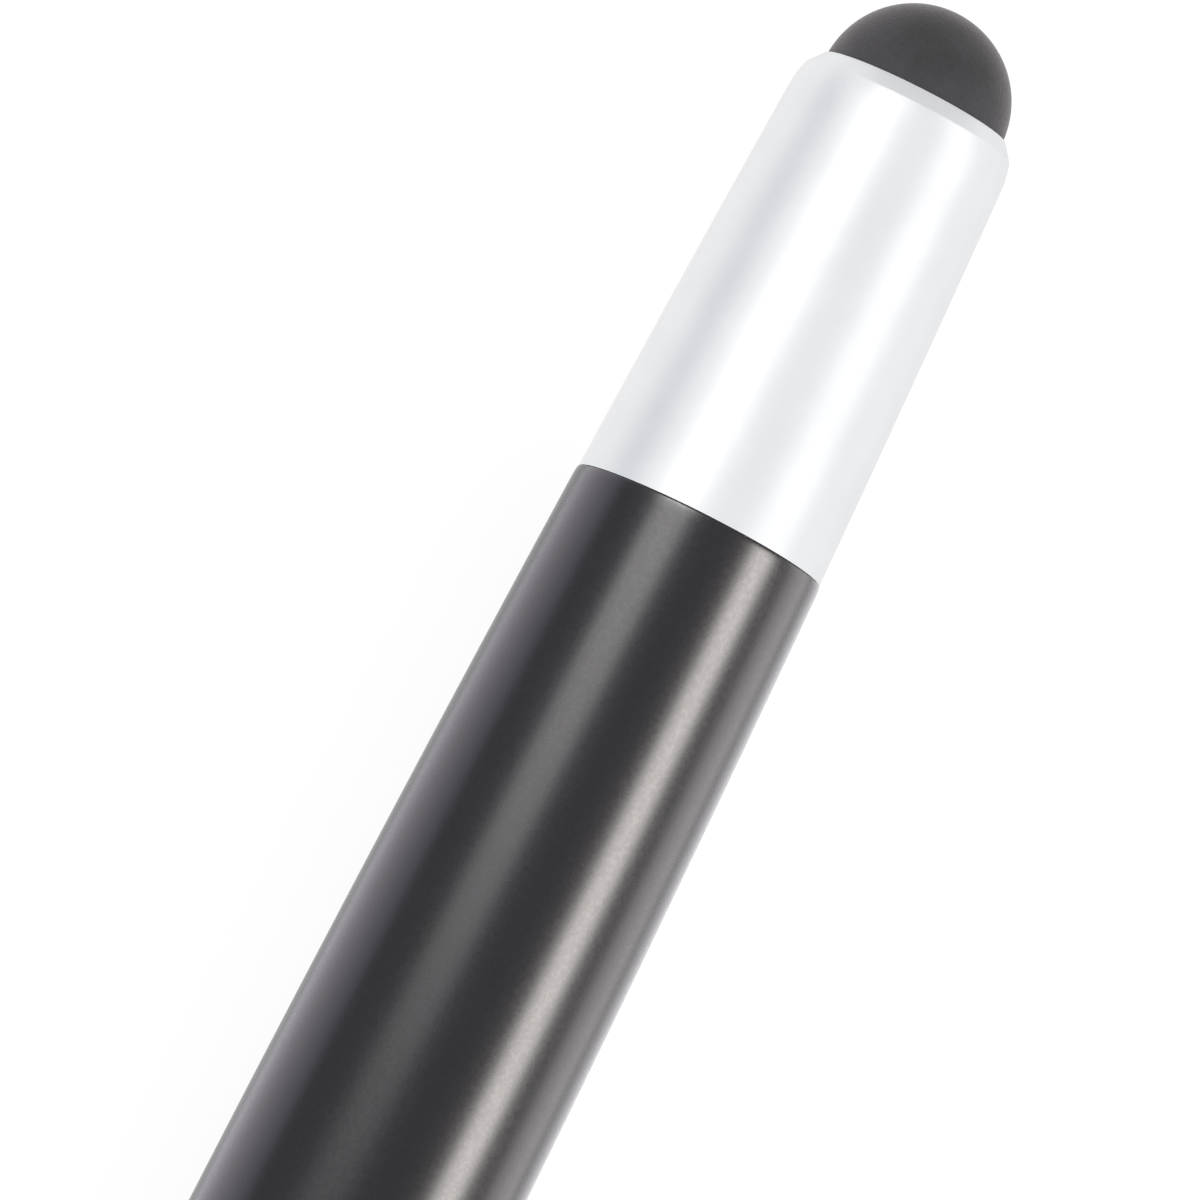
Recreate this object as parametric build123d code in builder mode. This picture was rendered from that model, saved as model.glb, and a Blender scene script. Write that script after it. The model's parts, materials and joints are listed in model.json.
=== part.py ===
from build123d import *
import os
from math import acos, cos, degrees, radians, sin, sqrt

# Stylus pen: soft stylus tip on one end, twist-action ballpoint on the other.
# Sizes in millimetres. The pen lies along X, with the stylus tip towards +X.
# The origin is on the axis, where the lower barrel meets the centre ring.

# Outer form of the two halves
body_radius = 4.63
upper_length = 40.3
upper_cylinder_length = 7.0
lower_cylinder_length = 32.0
nose_length = 14.0
mouth_wall = 0.45
mouth_edge_radius = 0.15
nose_bulge = 0.22
ring_length = 3.0
ring_rise = 0.35
ring_edge_radius = 0.35
twist_gap = 0.1
barrel_edge_radius = 0.15

# Clearances shared by the pieces that fit together
seat_clearance = 0.02
running_clearance = 0.05
thread_clearance = 0.05
loose_clearance = 0.15
overrun = 0.5

# Ferrule and the soft tip that it holds
ferrule_length = 14.6
ferrule_step = 0.04
ferrule_edge_radius = 0.06
joint_gap = 0.1
joint_depth = 0.25
lip_length = 0.95
lip_wall = 0.55
dome_radius = 3.0
dome_sink = 0.1
tip_wall = 0.8
tip_skirt_length = 3.0
tip_flange_rise = 0.22
tip_flange_length = 0.8
tip_press_travel = 0.6
core_plug_length = 3.6
core_flange_length = 0.8
core_edge = 0.4

# Bush between barrel and ferrule, with its sealing ring
barrel_wall = 0.75
bush_depth = 6.0
o_ring_section_radius = 0.3
o_ring_setback = 1.0

# Pocket clip, turned so far round the axis from straight down
clip_turn_angle = 61.0
clip_setback = 3.4
clip_length = 34.0
clip_thickness = 0.7
clip_width = 4.4
clip_end_width = 4.2
clip_bend_radius = 0.9
clip_root_rise = 1.75
clip_end_rise = 1.15
clip_curl_length = 2.4
clip_curl_rise = 0.4
clip_corner_radius = 0.5
clip_bead_radius = 0.6
clip_bead_gap = 0.12
clip_tab_width = 2.4
clip_tab_depth = 1.1
clip_tab_clearance = 0.13

# Twist mechanism
cam_travel = 5.5
pin_radius = 0.5
pin_clearance = 0.1
casing_land = 2.2
spindle_wall = 0.6
spindle_end_gap = 0.8
spindle_end_land = 0.5
snap_ring_thickness = 0.5
snap_ring_rise = 0.35
snap_groove_depth = 0.3
snap_ring_opening = 3.0
collar_length = 0.8
collar_clearance = 0.3
washer_thickness = 0.6
spindle_flange_length = 1.0
pusher_web = 1.2
pusher_tail = 1.3
pusher_socket_depth = 1.5
pusher_wall = 0.4

# Screw joint between spindle and lower half
thread_length = 9.0
bush_length = 10.0
bush_wall = 0.8
bush_collar_rise = 0.3

# Lower half
lower_wall = 0.76
lower_end_wall = 0.7
spigot_length = 6.0
spigot_wall = 0.4
front_bore_length = 18.0
liner_wall = 1.05
mouth_land_length = 7.0

# Ballpoint refill
refill_length = 107.0
refill_radius = 1.5
refill_wall = 0.45
point_recess = 0.7
point_radius = 1.15
point_cone_length = 2.6
point_clearance = 0.1
shank_length = 3.0
ball_radius = 0.5
ball_clearance = 0.02
ball_rim_wall = 0.1
ball_rim_share = 0.45
ink_length = 68.0
follower_length = 4.0
crimp_length = 1.2

# Return spring
spring_wire_radius = 0.175
spring_length = 15.0
spring_turns = 9
spring_tube_clearance = 0.175
spring_stop_margin = 0.6

# Upper half along the axis
upper_x0 = ring_length + twist_gap
upper_x1 = upper_x0 + upper_length
ferrule_x0 = upper_x1 + joint_gap
ferrule_x1 = ferrule_x0 + ferrule_length
ogive_x = upper_x0 + upper_cylinder_length
ogive_length = ferrule_x1 - ogive_x
tip_bore = dome_radius + seat_clearance
ogive_end_radius = tip_bore + lip_wall + ferrule_step


def upper_outline(x):
    """Outer radius of the upper half: a cylinder that runs into one long arc."""
    drop = body_radius - ogive_end_radius
    arc_radius = (ogive_length**2 + drop**2) / (2 * drop)
    run = max(x - ogive_x, 0)
    return body_radius - arc_radius + sqrt(arc_radius**2 - run**2)


joint_radius = upper_outline(upper_x1)
upper_bore = joint_radius - barrel_wall
bush_x0 = upper_x1 - bush_depth
spindle_x1 = bush_x0 - spindle_end_gap
snap_x1 = spindle_x1 - spindle_end_land
snap_x0 = snap_x1 - snap_ring_thickness
casing_x1 = snap_x0 - running_clearance
slot_radius = pin_radius + pin_clearance
pin_in_x = casing_x1 - casing_land - slot_radius
pin_out_x = pin_in_x - cam_travel
casing_x0 = pin_out_x - slot_radius - casing_land
collar_x1 = casing_x0 - washer_thickness
collar_x0 = collar_x1 - collar_length
refill_x1 = pin_in_x - pusher_web
spindle_flange_x0 = ring_length + running_clearance
spindle_flange_x1 = spindle_flange_x0 + spindle_flange_length

# The lower half is as long as the refill needs
point_x = refill_x1 - refill_length
nose_x0 = point_x - point_recess
nose_x1 = nose_x0 + nose_length
spring_seat_x = nose_x0 + mouth_land_length
crimp_x0 = spring_seat_x + spring_length
tube_x0 = spring_seat_x + cam_travel + spring_stop_margin
cylinder_x = -lower_cylinder_length

# Radii from the axis outwards
tube_bore = refill_radius - refill_wall
socket_radius = refill_radius + seat_clearance
pusher_radius = socket_radius + pusher_wall
spindle_bore = pusher_radius + running_clearance
spindle_radius = spindle_bore + spindle_wall
casing_bore = spindle_radius + running_clearance
casing_radius = upper_bore - seat_clearance
collar_radius = casing_radius - collar_clearance
lower_bore = body_radius - lower_wall
bush_radius = lower_bore - seat_clearance
thread_bore = bush_radius - bush_wall
thread_radius = thread_bore - thread_clearance
bush_collar_radius = bush_radius + bush_collar_rise
ring_bore = bush_collar_radius + seat_clearance
ring_radius = body_radius + ring_rise
spring_inner_radius = refill_radius + spring_tube_clearance
spring_radius = spring_inner_radius + spring_wire_radius
spring_outer_radius = spring_radius + spring_wire_radius
chamber_radius = spring_outer_radius + loose_clearance
spigot_radius = chamber_radius + spigot_wall
front_bore = spigot_radius + seat_clearance
nose_joint_radius = front_bore + lower_end_wall
middle_bore = body_radius - liner_wall
mouth_bore = point_radius + point_clearance
nose_mouth_radius = mouth_bore + mouth_wall


def lower_outline(x):
    """Outer radius of the lower barrel: a cylinder that runs into one arc at the nose."""
    drop = body_radius - nose_joint_radius
    length = cylinder_x - nose_x1
    arc_radius = (length**2 + drop**2) / (2 * drop)
    run = max(cylinder_x - x, 0)
    return body_radius - arc_radius + sqrt(arc_radius**2 - run**2)


# Side and top views of the clip, whose lower edge keeps the lying pen from rolling
clip_turn = radians(clip_turn_angle)
clip_side = Plane(origin=(0, 0, 0), x_dir=(1, 0, 0), z_dir=(0, cos(clip_turn), -sin(clip_turn)))
clip_top = Plane(origin=(0, 0, 0), x_dir=(1, 0, 0), z_dir=(0, -sin(clip_turn), -cos(clip_turn)))
clip_root_x = upper_x1 - clip_setback
clip_end_x = clip_root_x - clip_length
clip_root_height = upper_outline(clip_root_x) + clip_root_rise
clip_curl_x = clip_end_x + clip_curl_length
clip_curl_height = upper_outline(clip_curl_x) + clip_end_rise
tab_foot_height = upper_outline(clip_root_x) - barrel_wall - clip_tab_depth
tab_slot_length = clip_thickness + 2 * clip_tab_clearance
tab_slot_width = clip_tab_width + 2 * clip_tab_clearance

os.makedirs("parts", exist_ok=True)

# Upper barrel, a tapered tube with a slot for the clip
with BuildPart() as upper_barrel:
    with BuildSketch(Plane.XY):
        with BuildLine():
            Polyline(
                (ogive_x, body_radius),
                (upper_x0, body_radius),
                (upper_x0, upper_bore),
                (upper_x1, upper_bore),
                (upper_x1, joint_radius),
            )
            ogive_middle_x = (ogive_x + upper_x1) / 2
            ThreePointArc(
                (upper_x1, joint_radius),
                (ogive_middle_x, upper_outline(ogive_middle_x)),
                (ogive_x, body_radius),
            )
        make_face()
        fillet(vertices().group_by(Axis.X)[0].sort_by(Axis.Y)[-1], barrel_edge_radius)
        fillet(vertices().group_by(Axis.X)[-1].sort_by(Axis.Y)[-1], barrel_edge_radius)
    revolve(axis=Axis.X)
    with BuildSketch(clip_top):
        with Locations((clip_root_x, 0)):
            Rectangle(tab_slot_length, tab_slot_width)
    extrude(amount=body_radius + overrun, mode=Mode.SUBTRACT)
upper_barrel.part.label = "upper_barrel"
export_step(upper_barrel.part, "parts/upper_barrel.step")

# Ferrule, a tapered sleeve with a rounded lip round the soft tip
tip_shoulder_x = ferrule_x1 - tip_skirt_length
tip_flange_radius = dome_radius + tip_flange_rise
ferrule_bore = tip_flange_radius + running_clearance
lip_x = ferrule_x1 - lip_length
lip_radius = upper_outline(lip_x) - ferrule_step
lip_slope = (upper_outline(ferrule_x1) - upper_outline(lip_x)) / lip_length
with BuildPart() as ferrule:
    with BuildSketch(Plane.XY):
        with BuildLine():
            ferrule_middle_x = (ferrule_x0 + lip_x) / 2
            ThreePointArc(
                (ferrule_x0, upper_outline(ferrule_x0) - ferrule_step),
                (ferrule_middle_x, upper_outline(ferrule_middle_x) - ferrule_step),
                (lip_x, lip_radius),
            )
            TangentArc((lip_x, lip_radius), (ferrule_x1, tip_bore), tangent=(1, lip_slope))
            Polyline(
                (ferrule_x1, tip_bore),
                (tip_shoulder_x, tip_bore),
                (tip_shoulder_x, ferrule_bore),
                (ferrule_x0, ferrule_bore),
                (ferrule_x0, upper_outline(ferrule_x0) - ferrule_step),
            )
        make_face()
        fillet(vertices().group_by(Axis.X)[0].sort_by(Axis.Y)[-1], ferrule_edge_radius)
    revolve(axis=Axis.X)
ferrule.part.label = "ferrule"
export_step(ferrule.part, "parts/ferrule.step")

# Soft tip, a hollow dome with a flange trapped behind the ferrule's shoulder
dome_x = ferrule_x1 - dome_sink
tip_inner_radius = dome_radius - tip_wall
tip_flange_x1 = tip_shoulder_x - seat_clearance
tip_flange_x0 = tip_flange_x1 - tip_flange_length
with BuildPart() as stylus_tip:
    with BuildSketch(Plane.XY):
        with BuildLine():
            CenterArc((dome_x, 0), dome_radius, 0, 90)
            Polyline(
                (dome_x, dome_radius),
                (tip_flange_x1, dome_radius),
                (tip_flange_x1, tip_flange_radius),
                (tip_flange_x0, tip_flange_radius),
                (tip_flange_x0, tip_inner_radius),
                (dome_x, tip_inner_radius),
            )
            CenterArc((dome_x, 0), tip_inner_radius, 0, 90)
            Line((dome_x + tip_inner_radius, 0), (dome_x + dome_radius, 0))
        make_face()
    revolve(axis=Axis.X)
stylus_tip.part.label = "stylus_tip"
export_step(stylus_tip.part, "parts/stylus_tip.step")

# Core inside the soft tip, with room behind the tip's flange for it to yield
core_flange_x1 = tip_flange_x0 - tip_press_travel - loose_clearance
core_flange_x0 = core_flange_x1 - core_flange_length
core_radius = tip_inner_radius - running_clearance
with BuildPart() as tip_core:
    with BuildSketch(Plane.XY):
        with BuildLine():
            Polyline(
                (core_flange_x0, 0),
                (core_flange_x0, tip_flange_radius),
                (core_flange_x1, tip_flange_radius),
                (core_flange_x1, core_radius),
                (core_flange_x1 + core_plug_length, core_radius),
                (core_flange_x1 + core_plug_length, 0),
                close=True,
            )
        make_face()
        chamfer(vertices().group_by(Axis.X)[-1].sort_by(Axis.Y)[-1], core_edge)
    revolve(axis=Axis.X)
tip_core.part.label = "tip_core"
export_step(tip_core.part, "parts/tip_core.step")

# Bush that joins barrel and ferrule, grooved for its ring and notched for the clip's tab
stud_radius = ferrule_bore - thread_clearance
o_ring_x = ferrule_x0 + o_ring_setback
o_ring_radius = ferrule_bore - o_ring_section_radius - seat_clearance
groove_radius = o_ring_radius - o_ring_section_radius - seat_clearance
groove_half_width = o_ring_section_radius + running_clearance
with BuildPart() as ferrule_bush:
    with BuildSketch(Plane.XY):
        with BuildLine():
            Polyline(
                (bush_x0, 0),
                (bush_x0, casing_radius),
                (upper_x1, casing_radius),
                (upper_x1, joint_radius - joint_depth),
                (ferrule_x0, joint_radius - joint_depth),
                (ferrule_x0, stud_radius),
                (o_ring_x - groove_half_width, stud_radius),
                (o_ring_x - groove_half_width, groove_radius),
                (o_ring_x + groove_half_width, groove_radius),
                (o_ring_x + groove_half_width, stud_radius),
                (core_flange_x0, stud_radius),
                (core_flange_x0, 0),
                close=True,
            )
        make_face()
    revolve(axis=Axis.X)
    with BuildSketch(clip_top.offset(tab_foot_height - clip_tab_clearance)):
        with Locations((clip_root_x, 0)):
            Rectangle(tab_slot_length, tab_slot_width)
    extrude(amount=casing_radius, mode=Mode.SUBTRACT)
ferrule_bush.part.label = "ferrule_bush"
export_step(ferrule_bush.part, "parts/ferrule_bush.step")

with BuildPart() as ferrule_o_ring:
    with BuildSketch(Plane.XY):
        with Locations((o_ring_x, o_ring_radius)):
            Circle(o_ring_section_radius)
    revolve(axis=Axis.X)
ferrule_o_ring.part.label = "ferrule_o_ring"
export_step(ferrule_o_ring.part, "parts/ferrule_o_ring.step")

# Clip: a bent strip whose tab drops through the barrel and whose bead bears on it
bead_height = upper_outline(clip_curl_x) + clip_bead_gap + clip_bead_radius
with BuildPart() as clip:
    with BuildSketch(clip_side):
        with BuildLine():
            FilletPolyline(
                (clip_root_x, tab_foot_height),
                (clip_root_x, clip_root_height),
                (clip_curl_x, clip_curl_height),
                (clip_end_x, clip_curl_height + clip_curl_rise),
                radius=clip_bend_radius,
            )
        trace(line_width=clip_thickness)
    extrude(amount=clip_width / 2, both=True)
    with BuildSketch(clip_top):
        with BuildLine():
            Polyline(
                (clip_root_x + clip_thickness, clip_width / 2),
                (clip_root_x + clip_thickness, -clip_width / 2),
                (clip_end_x, -clip_end_width / 2),
                (clip_end_x, clip_end_width / 2),
                close=True,
            )
        make_face()
        fillet(vertices().group_by(Axis.X)[0], clip_corner_radius)
    extrude(amount=clip_root_height + body_radius, mode=Mode.INTERSECT)
    shoulder_height = upper_outline(clip_root_x) + clip_tab_clearance
    with BuildSketch(clip_top.offset(tab_foot_height - overrun)):
        with Locations((clip_root_x, 0)):
            Rectangle(clip_thickness + overrun, clip_width + overrun)
            Rectangle(clip_thickness + overrun, clip_tab_width, mode=Mode.SUBTRACT)
    extrude(amount=shoulder_height - tab_foot_height + overrun, mode=Mode.SUBTRACT)
    with Locations(clip_side.from_local_coords((clip_curl_x, bead_height, 0))):
        Sphere(clip_bead_radius)
clip.part.label = "clip"
export_step(clip.part, "parts/clip.step")

# Cutter for one screw-shaped slot, a half turn long
casing_wall = casing_radius - casing_bore
with BuildPart() as cam_slot:
    with BuildLine():
        slot_path = Helix(
            pitch=2 * cam_travel,
            height=cam_travel,
            radius=casing_bore + casing_wall / 2,
            center=(pin_out_x, 0, 0),
            direction=(1, 0, 0),
            lefthand=True,
        )
    with BuildSketch(Plane(origin=slot_path @ 0, x_dir=(0, 0, 1), z_dir=slot_path % 0)):
        Rectangle(casing_wall + 2 * overrun, 2 * slot_radius)
    sweep(path=slot_path, is_frenet=True)

# Cam casing, fixed in the upper barrel
with BuildPart() as cam_casing:
    with BuildSketch(Plane.YZ.offset(casing_x0)):
        Circle(casing_radius)
        Circle(casing_bore, mode=Mode.SUBTRACT)
    extrude(amount=casing_x1 - casing_x0)
    add(cam_slot.part, mode=Mode.SUBTRACT)
    add(cam_slot.part, rotation=(180, 0, 0), mode=Mode.SUBTRACT)
    with BuildSketch(Plane.XY):
        with Locations((pin_in_x, 0), (pin_out_x, 0)):
            Circle(slot_radius)
    extrude(amount=casing_radius + overrun, both=True, mode=Mode.SUBTRACT)
cam_casing.part.label = "cam_casing"
export_step(cam_casing.part, "parts/cam_casing.step")

# Spindle, a slotted tube that turns with the lower half
snap_groove_radius = spindle_radius - snap_groove_depth
with BuildPart() as spindle:
    with BuildSketch(Plane.XY):
        with BuildLine():
            Polyline(
                (spindle_flange_x0 - thread_length, spindle_bore),
                (spindle_flange_x0 - thread_length, thread_radius),
                (spindle_flange_x0, thread_radius),
                (spindle_flange_x0, upper_bore - running_clearance),
                (spindle_flange_x1, upper_bore - running_clearance),
                (spindle_flange_x1, spindle_radius),
                (collar_x0, spindle_radius),
                (collar_x0, collar_radius),
                (collar_x1, collar_radius),
                (collar_x1, spindle_radius),
                (snap_x0, spindle_radius),
                (snap_x0, snap_groove_radius),
                (snap_x1, snap_groove_radius),
                (snap_x1, spindle_radius),
                (spindle_x1, spindle_radius),
                (spindle_x1, spindle_bore),
                close=True,
            )
        make_face()
    revolve(axis=Axis.X)
    with BuildSketch(Plane.XY):
        with Locations(((pin_in_x + pin_out_x) / 2, 0)):
            SlotOverall(cam_travel + 2 * slot_radius, 2 * slot_radius)
    extrude(amount=spindle_radius + overrun, both=True, mode=Mode.SUBTRACT)
spindle.part.label = "spindle"
export_step(spindle.part, "parts/spindle.step")

# Snap ring, open on one side, that keeps the spindle in the casing
with BuildPart() as snap_ring:
    with BuildSketch(Plane.YZ.offset(snap_x0)):
        Circle(spindle_radius + snap_ring_rise)
        Circle(snap_groove_radius + seat_clearance, mode=Mode.SUBTRACT)
        with Locations((spindle_radius, 0)):
            Rectangle(2 * spindle_radius, snap_ring_opening, mode=Mode.SUBTRACT)
    extrude(amount=snap_ring_thickness)
snap_ring.part.label = "snap_ring"
export_step(snap_ring.part, "parts/snap_ring.step")

# Washer between the spindle's collar and the casing
with BuildPart() as friction_washer:
    with BuildSketch(Plane.YZ.offset(collar_x1)):
        Circle(collar_radius)
        Circle(spindle_radius + seat_clearance, mode=Mode.SUBTRACT)
    extrude(amount=washer_thickness - seat_clearance)
friction_washer.part.label = "friction_washer"
export_step(friction_washer.part, "parts/friction_washer.step")

# Pusher, a slider with a socket for the refill's tail and a hole for the cam pin
with BuildPart() as pusher:
    with BuildSketch(Plane.YZ.offset(refill_x1 - pusher_socket_depth)):
        Circle(pusher_radius)
    extrude(amount=pusher_socket_depth + pusher_web + pusher_tail)
    with BuildSketch(Plane.YZ.offset(refill_x1 - pusher_socket_depth)):
        Circle(socket_radius)
    extrude(amount=pusher_socket_depth, mode=Mode.SUBTRACT)
    with BuildSketch(Plane.XY):
        with Locations((pin_in_x, 0)):
            Circle(pin_radius + seat_clearance)
    extrude(amount=pusher_radius + overrun, both=True, mode=Mode.SUBTRACT)
pusher.part.label = "pusher"
export_step(pusher.part, "parts/pusher.step")

# Cam pin through pusher, spindle and casing
with BuildPart() as cam_pin:
    with BuildSketch(Plane.XY):
        with Locations((pin_in_x, 0)):
            Circle(pin_radius)
    extrude(amount=casing_radius - loose_clearance, both=True)
cam_pin.part.label = "cam_pin"
export_step(cam_pin.part, "parts/cam_pin.step")

# Bright ring between the halves
with BuildPart() as centre_ring:
    with BuildSketch(Plane.YZ):
        Circle(ring_radius)
    extrude(amount=ring_length)
    fillet(centre_ring.edges().filter_by(GeomType.CIRCLE), ring_edge_radius)
    with BuildSketch(Plane.YZ):
        Circle(ring_bore)
    extrude(amount=ring_length, mode=Mode.SUBTRACT)
centre_ring.part.label = "centre_ring"
export_step(centre_ring.part, "parts/centre_ring.step")

# Bush in the lower barrel, with the thread that takes the spindle
with BuildPart() as lower_bush:
    with BuildSketch(Plane.XY):
        with BuildLine():
            Polyline(
                (-bush_length, thread_bore),
                (-bush_length, bush_radius),
                (0, bush_radius),
                (0, bush_collar_radius),
                (ring_length, bush_collar_radius),
                (ring_length, thread_bore),
                close=True,
            )
        make_face()
    revolve(axis=Axis.X)
lower_bush.part.label = "lower_bush"
export_step(lower_bush.part, "parts/lower_bush.step")

# Lower barrel, a tube with a stepped bore for bush, refill and nose cone
front_bore_x = nose_x1 + front_bore_length
with BuildPart() as lower_barrel:
    with BuildSketch(Plane.XY):
        with BuildLine():
            Polyline(
                (nose_x1, nose_joint_radius),
                (nose_x1, front_bore),
                (front_bore_x, front_bore),
                (front_bore_x, middle_bore),
                (-bush_length, middle_bore),
                (-bush_length, lower_bore),
                (0, lower_bore),
                (0, body_radius),
                (cylinder_x, body_radius),
            )
            taper_middle_x = (cylinder_x + nose_x1) / 2
            ThreePointArc(
                (cylinder_x, body_radius),
                (taper_middle_x, lower_outline(taper_middle_x)),
                (nose_x1, nose_joint_radius),
            )
        make_face()
        fillet(vertices().group_by(Axis.X)[0].sort_by(Axis.Y)[-1], barrel_edge_radius)
    revolve(axis=Axis.X)
lower_barrel.part.label = "lower_barrel"
export_step(lower_barrel.part, "parts/lower_barrel.step")

# Nose cone, with the spring's chamber and the mouth for the point
nose_root_radius = nose_joint_radius - ferrule_step
nose_edge_x = nose_x1 - joint_gap
nose_middle_x = (nose_x0 + nose_edge_x) / 2
nose_middle_radius = (nose_root_radius + nose_mouth_radius) / 2 + nose_bulge
with BuildPart() as nose_cone:
    with BuildSketch(Plane.XY):
        with BuildLine():
            ThreePointArc(
                (nose_edge_x, nose_root_radius),
                (nose_middle_x, nose_middle_radius),
                (nose_x0, nose_mouth_radius),
            )
            Polyline(
                (nose_x0, nose_mouth_radius),
                (nose_x0, mouth_bore),
                (spring_seat_x, mouth_bore),
                (spring_seat_x, chamber_radius),
                (nose_x1 + spigot_length, chamber_radius),
                (nose_x1 + spigot_length, spigot_radius),
                (nose_x1, spigot_radius),
                (nose_x1, nose_root_radius - joint_depth),
                (nose_edge_x, nose_root_radius - joint_depth),
                (nose_edge_x, nose_root_radius),
            )
        make_face()
        fillet(vertices().group_by(Axis.X)[0].sort_by(Axis.Y)[-1], mouth_edge_radius)
    revolve(axis=Axis.X)
nose_cone.part.label = "nose_cone"
export_step(nose_cone.part, "parts/nose_cone.step")

# Refill tube, with the crimped collar that the spring bears on
with BuildPart() as refill_tube:
    with BuildSketch(Plane.XY):
        with BuildLine():
            Polyline(
                (tube_x0, tube_bore),
                (tube_x0, refill_radius),
                (crimp_x0, refill_radius),
                (crimp_x0, spring_outer_radius),
                (crimp_x0 + crimp_length, spring_outer_radius),
                (crimp_x0 + crimp_length, refill_radius),
                (refill_x1, refill_radius),
                (refill_x1, tube_bore),
                close=True,
            )
        make_face()
    revolve(axis=Axis.X)
refill_tube.part.label = "refill_tube"
export_step(refill_tube.part, "parts/refill_tube.step")

# Metal point, with a round socket that holds the ball past its middle
ball_x = point_x + ball_radius
ball_socket_radius = ball_radius + ball_clearance
rim_x = ball_x - ball_rim_share * ball_radius
rim_radius = sqrt(ball_socket_radius**2 - (ball_x - rim_x) ** 2)
rim_angle = degrees(acos((rim_x - ball_x) / ball_socket_radius))
shank_radius = tube_bore - seat_clearance
shank_x1 = tube_x0 + shank_length
with BuildPart() as refill_tip:
    with BuildSketch(Plane.XY):
        with BuildLine():
            socket_arc = CenterArc((ball_x, 0), ball_socket_radius, 0, rim_angle)
            Polyline(
                socket_arc @ 1,
                (rim_x, rim_radius + ball_rim_wall),
                (point_x + point_cone_length, point_radius),
                (tube_x0, point_radius),
                (tube_x0, shank_radius),
                (shank_x1, shank_radius),
                (shank_x1, 0),
                socket_arc @ 0,
            )
        make_face()
    revolve(axis=Axis.X)
refill_tip.part.label = "refill_tip"
export_step(refill_tip.part, "parts/refill_tip.step")

with BuildPart() as writing_ball:
    with Locations((ball_x, 0, 0)):
        Sphere(ball_radius)
writing_ball.part.label = "writing_ball"
export_step(writing_ball.part, "parts/writing_ball.step")

# Ink behind the point, closed by a plug of grease
ink_x1 = shank_x1 + ink_length
with BuildPart() as ink:
    with BuildSketch(Plane.YZ.offset(shank_x1)):
        Circle(shank_radius)
    extrude(amount=ink_length)
ink.part.label = "ink"
export_step(ink.part, "parts/ink.step")

with BuildPart() as ink_follower:
    with BuildSketch(Plane.YZ.offset(ink_x1)):
        Circle(shank_radius)
    extrude(amount=follower_length)
ink_follower.part.label = "ink_follower"
export_step(ink_follower.part, "parts/ink_follower.step")

# Return spring between the nose cone's shoulder and the refill's collar
spring_x0 = spring_seat_x + spring_wire_radius + seat_clearance
spring_rise = spring_length - 2 * (spring_wire_radius + seat_clearance)
with BuildPart() as return_spring:
    with BuildLine():
        spring_path = Helix(
            pitch=spring_rise / spring_turns,
            height=spring_rise,
            radius=spring_radius,
            center=(spring_x0, 0, 0),
            direction=(1, 0, 0),
        )
    with BuildSketch(Plane(origin=spring_path @ 0, z_dir=spring_path % 0)):
        Circle(spring_wire_radius)
    sweep(path=spring_path, is_frenet=True)
return_spring.part.label = "return_spring"
export_step(return_spring.part, "parts/return_spring.step")
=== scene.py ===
import json
import math

import bmesh
import bpy
from mathutils import Matrix, Vector


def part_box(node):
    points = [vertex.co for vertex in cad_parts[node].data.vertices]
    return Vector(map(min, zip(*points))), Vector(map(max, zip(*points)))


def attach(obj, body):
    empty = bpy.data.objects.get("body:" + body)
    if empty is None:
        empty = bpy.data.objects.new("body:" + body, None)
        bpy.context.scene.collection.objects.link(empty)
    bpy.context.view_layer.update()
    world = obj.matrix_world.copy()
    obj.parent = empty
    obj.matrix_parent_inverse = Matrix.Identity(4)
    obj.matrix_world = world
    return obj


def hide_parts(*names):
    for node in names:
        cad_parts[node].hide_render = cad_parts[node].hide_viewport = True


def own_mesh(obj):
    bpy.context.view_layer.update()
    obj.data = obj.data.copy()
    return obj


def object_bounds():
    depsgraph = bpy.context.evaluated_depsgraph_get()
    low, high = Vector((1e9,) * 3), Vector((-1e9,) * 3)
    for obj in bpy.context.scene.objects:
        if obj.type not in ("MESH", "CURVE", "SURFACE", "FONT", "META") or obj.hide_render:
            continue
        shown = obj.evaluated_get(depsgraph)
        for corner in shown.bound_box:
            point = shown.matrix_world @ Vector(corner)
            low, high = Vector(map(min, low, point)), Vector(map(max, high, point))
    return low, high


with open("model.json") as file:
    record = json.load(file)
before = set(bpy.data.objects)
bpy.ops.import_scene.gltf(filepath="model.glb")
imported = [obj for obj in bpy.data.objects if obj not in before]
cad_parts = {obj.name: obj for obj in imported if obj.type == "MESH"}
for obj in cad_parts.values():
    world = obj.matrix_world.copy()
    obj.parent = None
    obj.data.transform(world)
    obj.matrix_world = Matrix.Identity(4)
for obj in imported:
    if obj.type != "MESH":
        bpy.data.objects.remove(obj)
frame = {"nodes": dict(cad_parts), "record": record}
cad_low, cad_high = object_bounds()
scene = bpy.context.scene
scene.view_settings.view_transform = "Standard"

MM = 0.001
PEN_AXIS = Vector((1, 0, 0))

# The pen's sizes are in millimetres, those of camera, floor and lamps in metres.

# Clearances and edges that several pieces share
seat_clearance = 0.02
running_clearance = 0.05
loose_clearance = 0.15
seam_gap = 0.015
seam_edge = 0.03
bore_edge = 0.05
rim_edge = 0.1
end_edge = 0.15
cut_overrun = 1.0

# Barrels
upper_cylinder_length = 7.0
lower_cylinder_length = 32.0
barrel_wall = 0.75
lower_wall = 0.76
lower_end_wall = 0.7
liner_wall = 1.05
front_bore_length = 18.0
roll_length = 0.35
roll_drop = 0.035

# Soft tip and ferrule
dome_radius = 3.0
tip_wall = 0.8
tip_skirt_length = 3.0
tip_edge = 0.06
ferrule_step = 0.04
lip_wall = 0.55
lip_reach = 0.09
lip_bevel = 0.58
lip_run = 0.86
lip_drop = 0.12
lip_inner_edge = 0.04

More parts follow.
